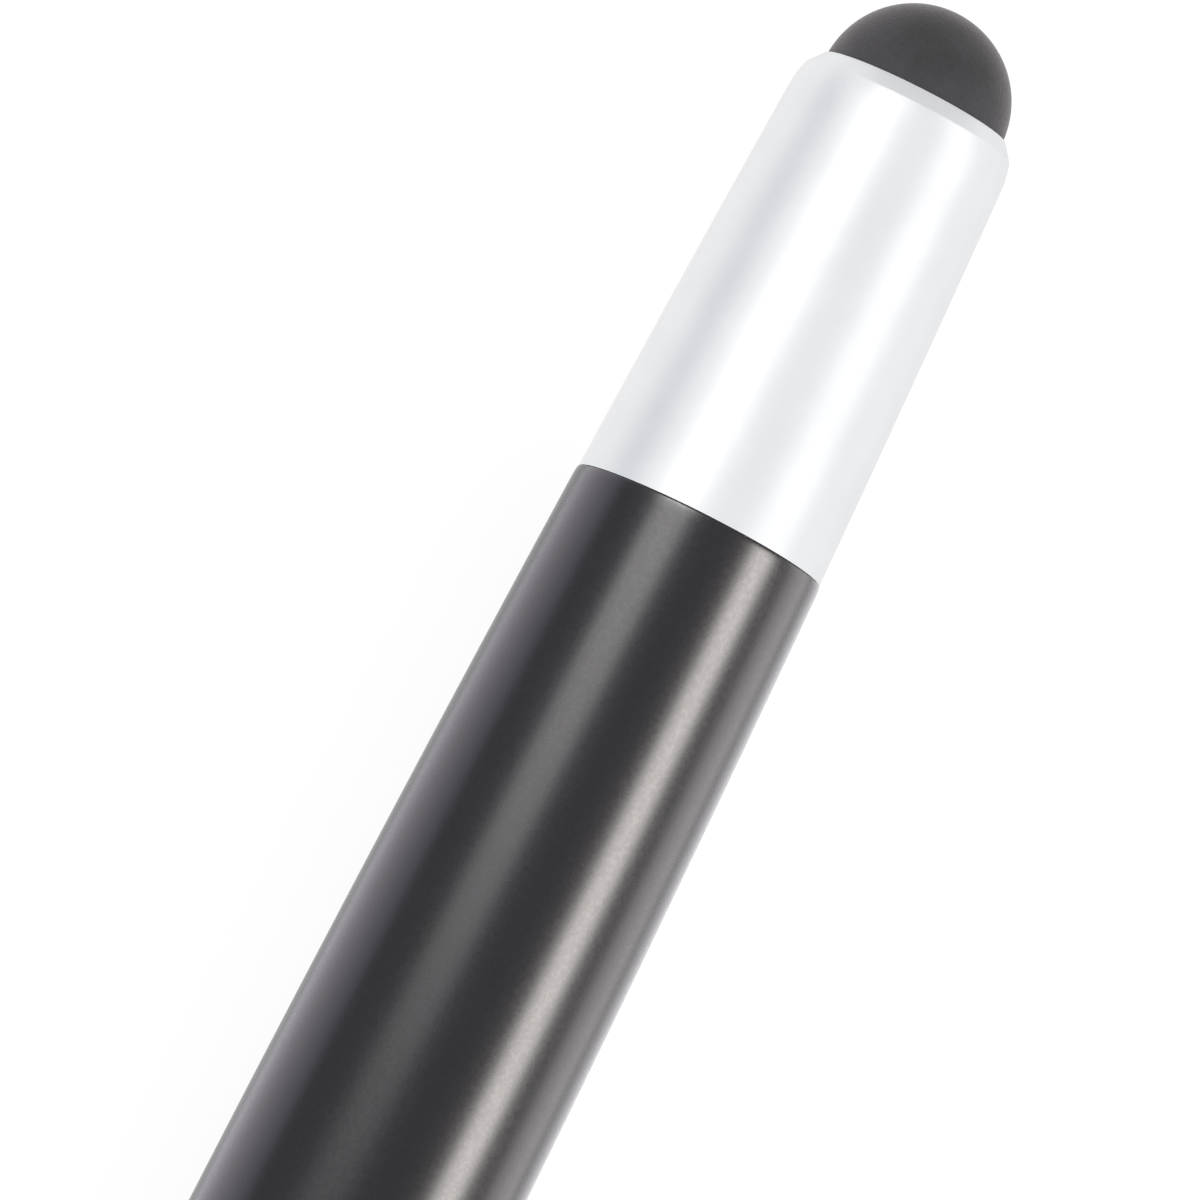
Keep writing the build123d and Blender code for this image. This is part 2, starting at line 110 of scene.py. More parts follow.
# Pocket clip and its slot in the barrel
clip_setback = 3.4
clip_slot_half_length = 0.48
clip_slot_half_width = 1.33
clip_length = 34.0
clip_thickness = 0.7
clip_width = 4.4
clip_end_width = 4.2
clip_tab_width = 2.4
clip_tab_depth = 1.1
clip_tab_clearance = 0.13
clip_bend_radius = 0.9
clip_root_rise = 1.75
clip_end_rise = 1.15
clip_curl_length = 2.4
clip_curl_rise = 0.4
clip_corner_radius = 0.5
clip_edge = 0.16
clip_bead_radius = 0.6
clip_bead_gap = 0.12
clip_spacing = 0.5
clip_end_gap = 0.05

# Centre ring and nose cone
ring_edge = 0.35
groove_setback = 0.95
groove_depth = 0.12
groove_half = 0.13
groove_edge = 0.04
spigot_wall = 0.4
mouth_clearance = 0.1
mouth_wall = 0.45
mouth_land_length = 7.0
nose_bulge = 0.22

# Spindle and the bush that it screws into
spindle_wall = 0.6
spindle_edge = 0.08
spindle_flange_length = 1.0
collar_length = 0.8
collar_radius = 3.069
snap_groove_depth = 0.3
pin_radius = 0.5
pin_clearance = 0.1
slot_cut_reach = 4.0
thread_radius = 3.0
thread_length = 9.0
thread_depth = 0.36
thread_pitch = 0.75
thread_fade = 0.4
thread_tolerance = 0.01
bush_lead = 0.3
bush_thread_gap = 0.1
bush_thread_depth = 0.3

# Refill point and return spring
ball_socket = 0.52
socket_wall = 0.1
nib_length = 0.85
nib_radius = 0.78
neck_length = 1.05
neck_radius = 0.9
cone_length = 2.1
shank_length = 3.0
shank_radius = 1.03
point_groove_setback = 0.6
point_groove_width = 0.25
point_groove_depth = 0.12
spring_wire_radius = 0.175
spring_turns = 9
closed_turns = 1.3
closed_pitch_share = 1.06

# Fineness of the meshes
segments_large = 256
segments_spindle = 160
segments_small = 128
smooth_deg = 32
coil_smooth_deg = 50
on_axis = 1e-6
edge_steps = 8
dome_steps = 64
dome_inner_steps = 32
sleeve_steps = 72
lip_steps = 16
upper_steps = 96
lower_steps = 72
roll_steps = 14
clip_bend_steps = 16
clip_edge_steps = 4
clip_corner_steps = 9
clip_bead_steps = 24
nose_steps = 48
slot_end_steps = 12
thread_steps = 264
bush_steps = 220
socket_steps = 16
spring_turn_steps = 40
spring_sides = 16

# Grain of the materials
noise_low = 0.3
noise_high = 0.7
fine_detail = 5
fine_roughness = 0.6
broad_share = 14
broad_detail = 3
broad_roughness = 0.5
fade_calm_share = 0.5
# Painted shade on the soft dome: how much darker its colour gets from its foot to its top
tip_painted_shade_share = 0.19

# Camera, whose sensor is in millimetres too
image_size = 1200
pixels_per_mm = 32.8
axis_in_image = Vector((0.4509, 0.8926))
middle_pixels = Vector((-589.5, -54.8))
camera_height_deg = 45.0
tail_tilt_deg = 5.5
camera_distance = 0.8
sensor_width = 36.0
near_clip = 0.01
far_clip = 20.0

# Floor, world and lamps
floor_reach = 8.0
paper_colour = (0.9, 0.9, 0.9, 1)
shadow_colour = (0.065, 0.065, 0.065, 1)
paper_glow = 0.955
room_colour = (0.99, 0.995, 1.0, 1)
room_strength = 1.03
white_colour = (1, 1, 1, 1)
white_strength = 1.0
no_light = (0, 0, 0)
full_light = (1, 1, 1)
near_lamp = 0.16
far_lamp = 0.6
front_tint = (1.0, 0.975, 0.985)
key_tint = (1.0, 0.948, 0.91)
rear_tint = (1.0, 0.95, 0.96)

# Place on the pen that the lamps face, and cards round it, in millimetres
lit_x = 42.0
low_card = 0.02
middle_card = 0.03
high_card = 0.04
short_run = (-180, 62)
long_run = (-180, 75)
backdrop_x = 350.0
backdrop_radius = 205.0
backdrop_corners = 60
backdrop_glow = (0.865, 0.87, 0.885)
apron_x = 67.0
apron_half = 3.0
apron_passing = (0.84, 0.85, 0.87)


# What the frame gives
def span(node):
    """A CAD node's reach along the pen and its greatest radius, in millimetres."""
    low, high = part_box(node)
    return low.x / MM, high.x / MM, high.y / MM


def named(rows, name):
    """The one of the record's rows that has this name."""
    return next(row for row in rows if row["name"] == name)


upper_x0, upper_x1, body_radius = span("upper_barrel")
_, ferrule_x1, _ = span("ferrule")
lower_x0, lower_x1, _ = span("lower_barrel")
ring_x0, ring_x1, ring_radius = span("centre_ring")
nose_x0, nose_x1, _ = span("nose_cone")
tip_x0, tip_x1, tip_flange_radius = span("stylus_tip")
spindle_x0, spindle_x1, spindle_flange_radius = span("spindle")
bush_x0, bush_x1, bush_collar_radius = span("lower_bush")
washer_x0, _, _ = span("friction_washer")
snap_x0, snap_x1, _ = span("snap_ring")
pin_x0, pin_x1, _ = span("cam_pin")
_, _, pusher_radius = span("pusher")
point_x0, point_x1, point_radius = span("refill_tip")
spring_x0, spring_x1, spring_outer_radius = span("return_spring")

joints = frame["record"]["behaviour"]["joints"]
slide = named(joints, "refill_slide")
cam_travel = slide["range_m"][1] / MM
ball_x = named(joints, "ball_roll")["pos_m"][0] / MM
throat = named(frame["record"]["mounts"], "clip_throat")
clip_out = Vector((0, throat["pos_m"][1], throat["pos_m"][2])).normalized()
floor_z = cad_low.z


# Mesh helpers
def steps(start, stop, count):
    """Evenly spaced numbers from start to stop, both included."""
    return [start + (stop - start) * i / count for i in range(count + 1)]


def arc(centre_x, radius, start_deg, stop_deg, count):
    """Points (x, r) on a circle about a place on the axis, its angles counted from the soft tip's side."""
    points = []
    for degrees in steps(start_deg, stop_deg, count):
        angle = math.radians(degrees)
        points.append((centre_x + radius * math.cos(angle), radius * math.sin(angle)))
    return points


def soften(corners, count=edge_steps):
    """Closed outline of (x, r, rounding) corners, each rounded by its own radius."""
    points = []
    for i, (x, r, rounding) in enumerate(corners):
        here = Vector((x, r))
        if rounding == 0:
            points.append((x, r))
            continue
        back = (Vector(corners[i - 1][:2]) - here).normalized()
        ahead = (Vector(corners[(i + 1) % len(corners)][:2]) - here).normalized()
        half = back.angle(ahead) / 2
        reach = rounding / math.tan(half)
        middle = here + (back + ahead).normalized() * (rounding / math.sin(half))
        first = here + back * reach - middle
        last = here + ahead * reach - middle
        turn = first.angle_signed(last)
        for k in range(count + 1):
            spoke = first.copy()
            spoke.rotate(Matrix.Rotation(-turn * k / count, 2))
            points.append(tuple(middle + spoke))
    return points


def sharp(points):
    """Corners without rounding, for an outline's smooth stretches."""
    return [(x, r, 0) for x, r in points]


def heading(line, i):
    """Direction of a line of points at one of them."""
    return (line[min(i + 1, len(line) - 1)] - line[max(i - 1, 0)]).normalized()


def axes_turn(x_axis, y_axis, z_axis):
    """Rotation that lays the three axes along these directions."""
    return Matrix((x_axis, y_axis, z_axis)).transposed().to_4x4()


def shade_edges(mesh, sharp_deg):
    """Smooth shading that keeps the sharper edges."""
    mesh.shade_smooth()
    mesh.set_sharp_from_angle(angle=math.radians(sharp_deg))


def finish_mesh(name, bm, sharp_deg=smooth_deg):
    """Turns a bmesh into an object of the scene."""
    bmesh.ops.recalc_face_normals(bm, faces=bm.faces)
    mesh = bpy.data.meshes.new(name)
    bm.to_mesh(mesh)
    bm.free()
    shade_edges(mesh, sharp_deg)
    piece = bpy.data.objects.new(name, mesh)
    scene.collection.objects.link(piece)
    return piece


def turned(name, outline, segments=segments_large, dip=None):
    """A solid turned about the pen's axis from a closed outline of (x, r) points, lowered by any dip."""
    bm = bmesh.new()
    rings = []
    for x, r in outline:
        if r < on_axis:
            rings.append([bm.verts.new((x * MM, 0, 0))])
            continue
        ring = []
        for k in range(segments):
            angle = 2 * math.pi * k / segments
            here = r - (dip(x, r, angle) if dip else 0)
            ring.append(bm.verts.new((x * MM, here * MM * math.cos(angle), here * MM * math.sin(angle))))
        rings.append(ring)
    for i, ring in enumerate(rings):
        after = rings[(i + 1) % len(rings)]
        if len(ring) == 1 and len(after) == 1:
            continue
        for k in range(segments):
            beside = (k + 1) % segments
            if len(ring) == 1:
                bm.faces.new((ring[0], after[k], after[beside]))
            elif len(after) == 1:
                bm.faces.new((ring[k], ring[beside], after[0]))
            else:
                bm.faces.new((ring[k], ring[beside], after[beside], after[k]))
    return finish_mesh(name, bm)


def lofted(name, sections, sharp_deg=smooth_deg):
    """A solid through a row of closed sections with as many points each, capped at both ends."""
    bm = bmesh.new()
    rings = [[bm.verts.new(Vector(spot) * MM) for spot in section] for section in sections]
    for ring, after in zip(rings, rings[1:]):
        for k in range(len(ring)):
            beside = (k + 1) % len(ring)
            bm.faces.new((ring[k], ring[beside], after[beside], after[k]))
    bm.faces.new(rings[0])
    bm.faces.new(rings[-1])
    return finish_mesh(name, bm, sharp_deg)


def cut(piece, cutter, operation="DIFFERENCE"):
    """Cuts or joins with another mesh, which is then removed."""
    change = piece.modifiers.new("cut", "BOOLEAN")
    change.object = cutter
    change.operation = operation
    change.solver = "EXACT"
    bpy.context.view_layer.update()
    shape = piece.evaluated_get(bpy.context.evaluated_depsgraph_get())
    mesh = bpy.data.meshes.new_from_object(shape)
    piece.modifiers.clear()
    spent = [piece.data, cutter.data]
    piece.data = mesh
    bpy.data.objects.remove(cutter)
    for old in spent:
        bpy.data.meshes.remove(old)
    shade_edges(mesh, smooth_deg)


# Material helpers
def set_inputs(node, values):
    """Sets a shader node's inputs by name, an underscore standing for a space."""
    for name, value in values.items():
        node.inputs[name.replace("_", " ")].default_value = value


def add_node(tree, kind, **values):
    """A new shader node with some of its inputs set."""
    node = tree.nodes.new(kind)
    set_inputs(node, values)
    return node


def join(tree, kind, first, second):
    """A shader made of two others, either added or mixed."""
    both = tree.nodes.new(kind)
    ends = [socket for socket in both.inputs if socket.type == "SHADER"]
    tree.links.new(first.outputs[0], ends[0])
    tree.links.new(second.outputs[0], ends[1])
    return both


def noise(tree, where, size, detail, roughness, stretch=None):
    """Noise with features of about this size in millimetres, squeezed along the axes by stretch."""
    scale = 1 / (size * MM)
    texture = add_node(tree, "ShaderNodeTexNoise", Scale=scale, Detail=detail, Roughness=roughness)
    if stretch:
        mapping = add_node(tree, "ShaderNodeMapping", Scale=stretch)
        tree.links.new(where, mapping.inputs["Vector"])
        where = mapping.outputs["Vector"]
    tree.links.new(where, texture.inputs["Vector"])
    return texture.outputs["Fac"]


def spread(tree, value, low, high, start=noise_low, stop=noise_high):
    """Maps a value that runs from start to stop to a number from low to high."""
    change = add_node(tree, "ShaderNodeMapRange", From_Min=start, From_Max=stop, To_Min=low, To_Max=high)
    tree.links.new(value, change.inputs["Value"])
    return change.outputs["Result"]


def tint(tree, value, dark, light):
    """Turns noise into a colour between two colours."""
    ramp = tree.nodes.new("ShaderNodeValToRGB")
    first, last = ramp.color_ramp.elements
    first.position = noise_low
    first.color = (*dark, 1)
    last.position = noise_high
    last.color = (*light, 1)
    tree.links.new(value, ramp.inputs["Fac"])
    return ramp.outputs["Color"]


def relief(tree, shader, value, strength, depth):
    """Fine bumps from noise, so many millimetres deep."""
    bump = add_node(tree, "ShaderNodeBump", Strength=strength, Distance=depth * MM)
    tree.links.new(value, bump.inputs["Height"])
    tree.links.new(bump.outputs["Normal"], shader.inputs["Normal"])


def painted_shade_along_pen(tree, where, tone, start_x, stop_x, change):
    """Calms a noise and shifts it along the pen, so much up at one place and so much down at another:
    painted shade, a colour lighter at one end and darker at the other.
    """
    middle = (1 - fade_calm_share) / 2
    split = tree.nodes.new("ShaderNodeSeparateXYZ")
    tree.links.new(where, split.inputs["Vector"])
    shift = spread(tree, split.outputs["X"], middle + change, middle - change, start_x * MM, stop_x * MM)
    total = tree.nodes.new("ShaderNodeMath")
    total.operation = "MULTIPLY_ADD"
    total.inputs[1].default_value = fade_calm_share
    tree.links.new(tone, total.inputs[0])
    tree.links.new(shift, total.inputs[2])
    return total.outputs[0]


def grained(
    name, dark, light, rough, grain, depth, metallic=0.0, strength=0.3, stretch=None, painted_shade=None, **others
):
    """Colour, roughness and relief from noise, with its grain and depth in millimetres, and painted shade
    along the pen where one is given.
    """
    material = bpy.data.materials.new(name)
    material.use_nodes = True
    tree = material.node_tree
    shader = tree.nodes["Principled BSDF"]
    where = tree.nodes.new("ShaderNodeTexCoord").outputs["Object"]
    fine = noise(tree, where, grain, fine_detail, fine_roughness, stretch)
    broad = noise(tree, where, broad_share * grain, broad_detail, broad_roughness)
    if painted_shade:
        broad = painted_shade_along_pen(tree, where, broad, *painted_shade)
    tree.links.new(tint(tree, broad, dark, light), shader.inputs["Base Color"])
    tree.links.new(spread(tree, fine, *rough), shader.inputs["Roughness"])
    relief(tree, shader, fine, strength, depth)
    set_inputs(shader, {"Metallic": metallic, **others})
    return material


def bare_material(name):
    """A material that has only its output node so far."""
    material = bpy.data.materials.new(name)
    material.use_nodes = True
    tree = material.node_tree
    tree.nodes.remove(tree.nodes["Principled BSDF"])
    return material, tree


# Materials
lacquer = grained(
    "barrel_lacquer",
    dark=(0.0012, 0.0008, 0.0018),
    light=(0.0017, 0.0011, 0.0024),
    rough=(0.25, 0.31),
    grain=0.16,
    depth=0.004,
    strength=0.12,
    IOR=1.385,
    Sheen_Weight=0.08,
    Sheen_Roughness=0.35,
)
silver = grained(
    "satin_silver",
    dark=(0.745, 0.75, 0.76),
    light=(0.77, 0.775, 0.785),
    rough=(0.32, 0.4),
    grain=0.12,
    depth=0.004,
    metallic=1.0,
    strength=0.1,
)
rubber = grained(
    "tip_rubber",
    dark=(0.0085, 0.0079, 0.0087),
    light=(0.041, 0.0382, 0.0417),
    rough=(0.58, 0.78),
    grain=0.12,
    depth=0.03,
    strength=0.45,
    # Painted shade: the dome's colour darkens from its foot towards its top
    painted_shade=(ferrule_x1, tip_x1, tip_painted_shade_share),
    Specular_IOR_Level=0.41,
    Sheen_Weight=0.36,
    Sheen_Roughness=0.42,
    Sheen_Tint=(1.0, 0.92, 0.95, 1.0),
)
seal = grained(
    "seal_rubber",
    dark=(0.014, 0.014, 0.014),
    light=(0.02, 0.02, 0.02),
    rough=(0.5, 0.65),
    grain=0.1,
    depth=0.02,
)
brass = grained(
    "brass",
    dark=(0.66, 0.46, 0.21),
    light=(0.74, 0.54, 0.27),
    rough=(0.22, 0.36),
    grain=0.1,
    depth=0.006,
    metallic=1.0,
    stretch=(6, 1, 1),
)
steel = grained(
    "steel",
    dark=(0.52, 0.52, 0.53),
    light=(0.6, 0.6, 0.61),
    rough=(0.18, 0.3),
    grain=0.08,
    depth=0.004,
    metallic=1.0,
    stretch=(5, 1, 1),
)
white_plastic = grained(
    "mechanism_plastic",
    dark=(0.62, 0.62, 0.6),
    light=(0.7, 0.7, 0.68),
    rough=(0.38, 0.5),
    grain=0.2,
    depth=0.01,
)
dark_plastic = grained(
    "spindle_plastic",
    dark=(0.035, 0.035, 0.038),
    light=(0.05, 0.05, 0.054),
    rough=(0.36, 0.48),
    grain=0.2,
    depth=0.01,
)
red_plastic = grained(
    "washer_plastic",
    dark=(0.24, 0.04, 0.032),
    light=(0.31, 0.055, 0.045),
    rough=(0.4, 0.5),
    grain=0.2,
    depth=0.01,
)
ink_blue = grained(
    "ink",
    dark=(0.006, 0.008, 0.04),
    light=(0.01, 0.013, 0.06),
    rough=(0.1, 0.2),
    grain=0.4,
    depth=0.01,
)
grease = grained(
    "grease",
    dark=(0.6, 0.5, 0.27),
    light=(0.68, 0.58, 0.34),
    rough=(0.12, 0.22),
    grain=0.4,
    depth=0.01,
)
clear_plastic = grained(
    "tube_plastic",
    dark=(0.8, 0.82, 0.82),
    light=(0.86, 0.87, 0.87),
    rough=(0.07, 0.13),
    grain=0.3,
    depth=0.004,
    Transmission_Weight=0.94,
    IOR=1.49,
)


def dress(node, material):
    """Gives a CAD node that stays in view its procedural material."""
    shape = frame["nodes"][node]
    shape.data.materials.clear()
    shape.data.materials.append(material)
    for face in shape.data.polygons:
        face.material_index = 0


def place(piece, body, node, material):
    """Puts a piece on its body in place of a CAD node."""
    piece.data.materials.clear()
    piece.data.materials.append(material)
    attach(piece, body)
    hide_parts(node)


# Outer lines of the barrels
tip_bore = dome_radius + seat_clearance
ogive_x = upper_x0 + upper_cylinder_length
ogive_end_radius = tip_bore + lip_wall + ferrule_step
chamber_radius = spring_outer_radius + loose_clearance
spigot_radius = chamber_radius + spigot_wall
front_bore = spigot_radius + seat_clearance
nose_joint_radius = front_bore + lower_end_wall
taper_x = lower_x1 - lower_cylinder_length


def ogive_drop(run, length, drop):
    """How far a long arc has dropped after a run along the axis, if it drops so much over its length."""
    arc_radius = (length**2 + drop**2) / (2 * drop)
    return arc_radius - math.sqrt(arc_radius**2 - max(run, 0) ** 2)


def upper_outline(x):
    """Outer radius of the upper half: a cylinder that runs into one long arc."""
    return body_radius - ogive_drop(x - ogive_x, ferrule_x1 - ogive_x, body_radius - ogive_end_radius)


def lower_outline(x):
    """Outer radius of the lower barrel: a cylinder that runs into one arc at the nose."""
    return body_radius - ogive_drop(taper_x - x, taper_x - lower_x0, body_radius - nose_joint_radius)


def barrel_line(outline, start_x, end_x, count):
    """Outer line of a barrel to its thin end, where the lacquered edge rolls over."""
    roll = math.copysign(roll_length, end_x - start_x)
    points = [(x, outline(x)) for x in steps(start_x, end_x - roll, count)]
    for degrees in steps(0, 90, roll_steps)[1:]:
        lean = math.radians(degrees)
        x = end_x - roll * (1 - math.sin(lean))
        points.append((x, outline(x) - roll_drop * (1 - math.cos(lean))))
    return points


# Soft tip, a hollow dome with a flange behind the ferrule's shoulder
dome_x = tip_x1 - dome_radius
tip_seat_x = ferrule_x1 - tip_skirt_length
tip_skirt_x = tip_seat_x - seat_clearance
tip_inner_radius = dome_radius - tip_wall
dome = turned(
    "soft_dome",
    arc(dome_x, dome_radius, 0, 90, dome_steps)[:-1]
    + soften(
        [
            (dome_x, dome_radius, 0),
            (tip_skirt_x, dome_radius, tip_edge),
            (tip_skirt_x, tip_flange_radius, tip_edge),
            (tip_x0, tip_flange_radius, tip_edge),
            (tip_x0, tip_inner_radius, tip_edge),
            (dome_x, tip_inner_radius, 0),
        ]
    )
    + arc(dome_x, tip_inner_radius, 90, 0, dome_inner_steps)[1:],
)
place(dome, "soft_tip", "stylus_tip", rubber)

# Ferrule, a sleeve that curls in to a bevelled lip
lip_x1 = ferrule_x1 + lip_reach
bevel_x = lip_x1 - lip_bevel
lip_x = bevel_x - lip_run
sleeve_x0 = upper_x1 + seam_gap
ferrule_bore = tip_flange_radius + running_clearance


def sleeve_outline(x):
    """Outer radius of the ferrule, just under the barrel's line until it curls in."""
    curl_share = max(x - lip_x, 0) / lip_run
    return upper_outline(x) - ferrule_step - lip_drop * curl_share**2


sleeve_places = steps(sleeve_x0, lip_x, sleeve_steps) + steps(lip_x, bevel_x, lip_steps)[1:]
sleeve = [(x, sleeve_outline(x)) for x in sleeve_places]
ferrule = turned(
    "ferrule_sleeve",
    soften(
        [(sleeve_x0, ferrule_bore, bore_edge), (*sleeve[0], seam_edge)]
        + sharp(sleeve[1:-1])
        + [
            (*sleeve[-1], end_edge),
            (lip_x1, tip_bore, lip_inner_edge),
            (tip_seat_x, tip_bore, 0),
            (tip_seat_x, ferrule_bore, 0),
        ]
    ),
)
place(ferrule, "upper_half", "ferrule", silver)

# Upper barrel, with the slot that the clip's tab drops through
clip_turn = axes_turn(PEN_AXIS, clip_out.cross(PEN_AXIS), clip_out)
clip_root_x = upper_x1 - clip_setback
upper_bore = upper_outline(upper_x1) - barrel_wall


def clip_slot_cutter():
    """A block from the axis outwards, where the clip's tab goes."""
    top = body_radius + cut_overrun
    sections = []
    for x in (clip_root_x - clip_slot_half_length, clip_root_x + clip_slot_half_length):
        sections.append(
            [
                (x, -clip_slot_half_width, 0),
                (x, clip_slot_half_width, 0),
                (x, clip_slot_half_width, top),
                (x, -clip_slot_half_width, top),
            ]
        )
    cutter = lofted("cutter", sections)
    cutter.data.transform(clip_turn)
    return cutter


upper = turned(
    "upper_barrel_shell",
    soften(
        [(upper_x0, upper_bore, rim_edge), (upper_x0, body_radius, end_edge)]
        + sharp(barrel_line(upper_outline, ogive_x, upper_x1, upper_steps))
        + [(upper_x1, upper_bore, bore_edge)]
    ),
)
cut(upper, clip_slot_cutter())
place(upper, "upper_half", "upper_barrel", lacquer)

# Pocket clip, a bent strip with a bead under its end
clip_end_x = clip_root_x - clip_length
clip_curl_x = clip_end_x + clip_curl_length
clip_root_height = upper_outline(clip_root_x) + clip_root_rise
clip_curl_height = upper_outline(clip_curl_x) + clip_end_rise
clip_foot_height = upper_outline(clip_root_x) - barrel_wall - clip_tab_depth
clip_shoulder_height = upper_outline(clip_root_x) + clip_tab_clearance
clip_bead_height = upper_outline(clip_curl_x) + clip_bead_gap + clip_bead_radius


def clip_path():
    """Middle line of the bent strip as (x, height over the axis), from its foot to its curled end."""
    rounded = soften(
        [
            (clip_root_x, clip_foot_height, 0),
            (clip_root_x, clip_root_height, clip_bend_radius),
            (clip_curl_x, clip_curl_height, clip_bend_radius),
            (clip_end_x, clip_curl_height + clip_curl_rise, 0),
        ],
        clip_bend_steps,
    )
    path = [Vector(rounded[0])]
    for spot in rounded[1:]:
        start = path[-1]
        run = Vector(spot) - start
        count = max(1, round(run.length / clip_spacing))
        path += [start + run * (k + 1) / count for k in range(count)]
    end = path[-1]
    tail = (end - path[-2]).normalized()
    path = [spot for spot in path if (end - spot).length > clip_corner_radius + clip_end_gap]
    for degrees in steps(0, 90, clip_corner_steps):
        path.append(end - tail * clip_corner_radius * (1 - math.sin(math.radians(degrees))))
    return path


def clip_half_width(spot, distance):
    """Half the strip's width: a narrow tab in the barrel, then a slow taper to a rounded end."""
    if spot.x > clip_root_x - clip_thickness and spot.y < clip_shoulder_height:
        return clip_tab_width / 2
    share = min(max((clip_root_x - spot.x) / clip_length, 0), 1)
    half = (clip_width + (clip_end_width - clip_width) * share) / 2
    if distance < clip_corner_radius:
        inset = clip_corner_radius - distance
        half -= clip_corner_radius - math.sqrt(max(clip_corner_radius**2 - inset**2, 0))
    return half


def clip_strip():
    """The strip with its soft edges, standing straight up over the axis."""
    path = clip_path()
    half_thick = clip_thickness / 2
    sections = []
    for i, spot in enumerate(path):
        along = heading(path, i)
        across = Vector((-along.y, along.x))
        half = clip_half_width(spot, (path[-1] - spot).length)
        outline = soften(
            [
                (-half, -half_thick, clip_edge),
                (half, -half_thick, clip_edge),
                (half, half_thick, clip_edge),
                (-half, half_thick, clip_edge),
            ],
            clip_edge_steps,
        )
        section = []
        for side, depth in outline:
            edge = spot + across * depth
            section.append((edge.x, side, edge.y))
        sections.append(section)
    return lofted("clip_strip", sections)


def clip_bead():
    """The small ball that bears on the barrel."""
    bm = bmesh.new()
    bmesh.ops.create_uvsphere(
        bm, u_segments=2 * clip_bead_steps, v_segments=clip_bead_steps, radius=clip_bead_radius * MM
    )
    centre = Vector((clip_curl_x, 0, clip_bead_height))
    bmesh.ops.translate(bm, vec=centre * MM, verts=bm.verts)
    return finish_mesh("bead", bm)


clip = clip_strip()
cut(clip, clip_bead(), "UNION")
clip.data.transform(clip_turn)
place(clip, "pocket_clip", "clip", silver)

# Centre ring, with two turned grooves
ring_bore = bush_collar_radius + seat_clearance


def groove(x, r):
    """Corners of a small rounded groove across an outline that runs along the axis."""
    return [
        (x - groove_half, r, groove_edge),
        (x - groove_half / 2, r - groove_depth, groove_edge),
        (x + groove_half / 2, r - groove_depth, groove_edge),
        (x + groove_half, r, groove_edge),
    ]


centre_ring = turned(
    "centre_ring_band",
    soften(
        [(ring_x0, ring_bore, 0), (ring_x0, ring_radius, ring_edge)]
        + groove(ring_x0 + groove_setback, ring_radius)
        + groove(ring_x1 - groove_setback, ring_radius)
        + [(ring_x1, ring_radius, ring_edge), (ring_x1, ring_bore, 0)]
    ),
)
place(centre_ring, "lower_half", "centre_ring", silver)

# Lower barrel, a tube with a stepped bore
bush_seat_bore = body_radius - lower_wall
liner_bore = body_radius - liner_wall
front_bore_x = lower_x0 + front_bore_length
lower = turned(
    "lower_barrel_shell",
    soften(
        [(lower_x1, bush_seat_bore, rim_edge), (lower_x1, body_radius, seam_edge)]
        + sharp(barrel_line(lower_outline, taper_x, lower_x0, lower_steps))
        + [
            (lower_x0, front_bore, bore_edge),
            (front_bore_x, front_bore, 0),
            (front_bore_x, liner_bore, 0),
            (bush_x0, liner_bore, 0),
            (bush_x0, bush_seat_bore, 0),
        ]
    ),
)
place(lower, "lower_half", "lower_barrel", lacquer)

# Nose cone, with the spring's chamber and the mouth for the point
mouth_bore = point_radius + mouth_clearance
mouth_radius = mouth_bore + mouth_wall
chamber_x = nose_x0 + mouth_land_length
nose_edge_x = lower_x0 - seam_gap
nose_root_radius = nose_joint_radius - ferrule_step


def nose_outline():
    """Outer line of the nose cone, one arc through its root, its middle and its mouth."""
    chord = Vector((nose_x0 - nose_edge_x, mouth_radius - nose_root_radius))
    rise = nose_bulge * abs(chord.x) / chord.length
    circle = (chord.length**2 / 4 + rise**2) / (2 * rise)
    middle = Vector(((nose_x0 + nose_edge_x) / 2, (nose_root_radius + mouth_radius) / 2))
    outward = Vector((-abs(chord.y), abs(chord.x))).normalized()
    centre = middle + outward * (rise - circle)
    points = []
    for x in steps(nose_edge_x, nose_x0, nose_steps):
        points.append((x, centre.y + math.sqrt(circle**2 - (x - centre.x) ** 2)))
    return points


nose_line = nose_outline()
nose = turned(
    "nose_cone_shell",
    soften(
        [(nose_edge_x, spigot_radius, 0), (*nose_line[0], seam_edge)]
        + sharp(nose_line[1:-1])
        + [
            (*nose_line[-1], end_edge),
            (nose_x0, mouth_bore, rim_edge),
            (chamber_x, mouth_bore, 0),
            (chamber_x, chamber_radius, 0),
            (nose_x1, chamber_radius, rim_edge),
            (nose_x1, spigot_radius, rim_edge),
        ]
    ),
)
place(nose, "lower_half", "nose_cone", silver)


# Spindle, a threaded tube with a collar and a long slot for the cam's pin
def thread(x0, x1, radius, depth):
    """Dip of a screw thread that fades out at both ends: into a wall, or out of a bore if negative."""

    def dip(x, r, angle):
        if abs(r - radius) > thread_tolerance or not x0 <= x <= x1:
            return 0
        turns = x / thread_pitch - angle / (2 * math.pi)
        valley_share = (1 - math.cos(2 * math.pi * turns)) / 2
        fade_share = min(1, (x - x0) / thread_fade, (x1 - x) / thread_fade)
        return depth * valley_share * max(0, fade_share)

    return dip


spindle_bore = pusher_radius + running_clearance
spindle_radius = spindle_bore + spindle_wall
snap_groove_radius = spindle_radius - snap_groove_depth
flange_x0 = spindle_x0 + thread_length
flange_x1 = flange_x0 + spindle_flange_length
collar_x1 = washer_x0
collar_x0 = collar_x1 - collar_length
slot_x = (pin_x0 + pin_x1 - cam_travel) / 2
slot_half_width = pin_radius + pin_clearance


def slot_cutter():
    """A round-ended bar, as long as the pin's travel, that cuts both walls of the spindle."""
    rim = []
    for side, start_deg in ((1, -90), (-1, 90)):
        end_x = slot_x + side * cam_travel / 2
        rim += arc(end_x, slot_half_width, start_deg, start_deg + 180, slot_end_steps)
    sections = [[(x, y, z) for x, y in rim] for z in (-slot_cut_reach, slot_cut_reach)]
    return lofted("cutter", sections)


